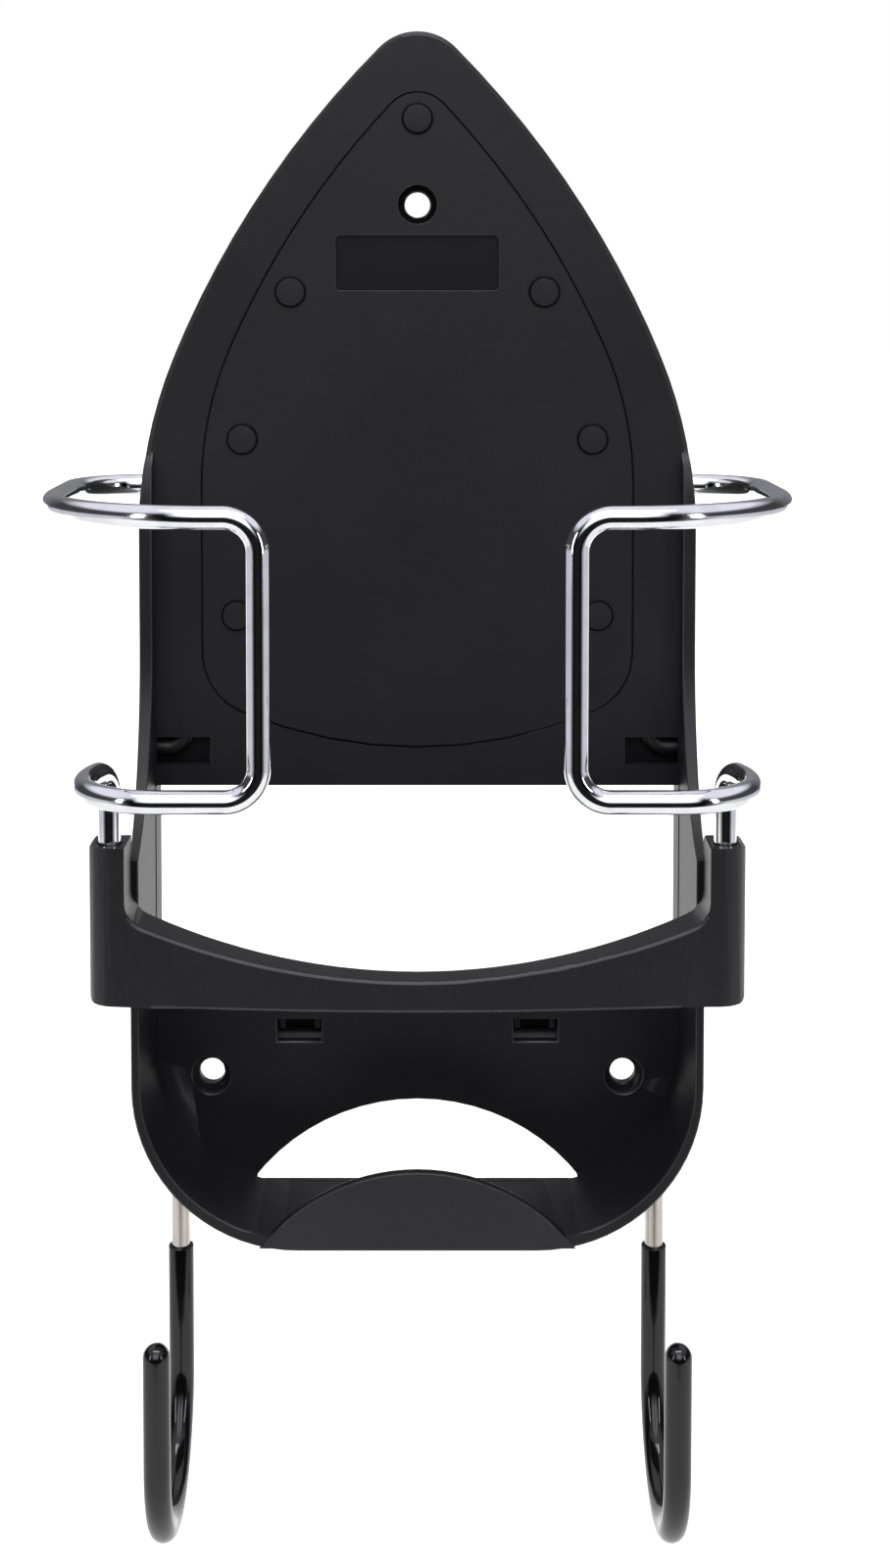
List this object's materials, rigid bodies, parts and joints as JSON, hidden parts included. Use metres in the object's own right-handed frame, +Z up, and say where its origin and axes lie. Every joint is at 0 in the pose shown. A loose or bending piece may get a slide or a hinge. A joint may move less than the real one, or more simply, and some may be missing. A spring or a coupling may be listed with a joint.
{
  "type": "wall-mounted iron holder",
  "caption": "Wall-mounted holder with an iron-shaped rest plate, a heel tray behind a front band, bent wire guards beside the iron and coated hooks below for an ironing board.",
  "frame": {"origin": "on the wall plane and the centre line, on the crossing of the rear ribs, 116.1 mm below the upper wall screw", "axes": "+Z up along the holder, +X to the right as seen from the front, +Y into the wall, so that the front faces -Y"},
  "size_m": [0.186, 0.0883, 0.3911],
  "materials": {
    "black_moulding": "fine satin texture, heat-resistant black moulding",
    "black_panel": "fine matte texture",
    "black_pad": "matte",
    "black_band": "satin",
    "zinc": "zinc plated",
    "chrome": "polished plate",
    "nickel": "bright nickel",
    "black_vinyl": "glossy soft coat"
  },
  "bodies": {
    "root": {"holder_body": "black_moulding", "heat_panel": "black_panel", "rest_pad_tip": "black_pad", "rest_pad_upper_left": "black_pad", "rest_pad_upper_right": "black_pad", "rest_pad_middle_left": "black_pad", "rest_pad_middle_right": "black_pad", "rest_pad_lower_left": "black_pad", "rest_pad_lower_right": "black_pad", "front_band": "black_band", "band_screw_left_upper": "zinc", "band_screw_left_lower": "zinc", "band_screw_right_upper": "zinc", "band_screw_right_lower": "zinc", "guard_wire_left": "chrome", "guard_wire_right": "chrome", "hook_frame": "nickel", "hook_sleeve_left": "black_vinyl", "hook_sleeve_right": "black_vinyl", "guard_cover_left": "black_moulding", "guard_cover_right": "black_moulding", "crossbar_cover": "black_moulding"}
  },
  "joints": []
}
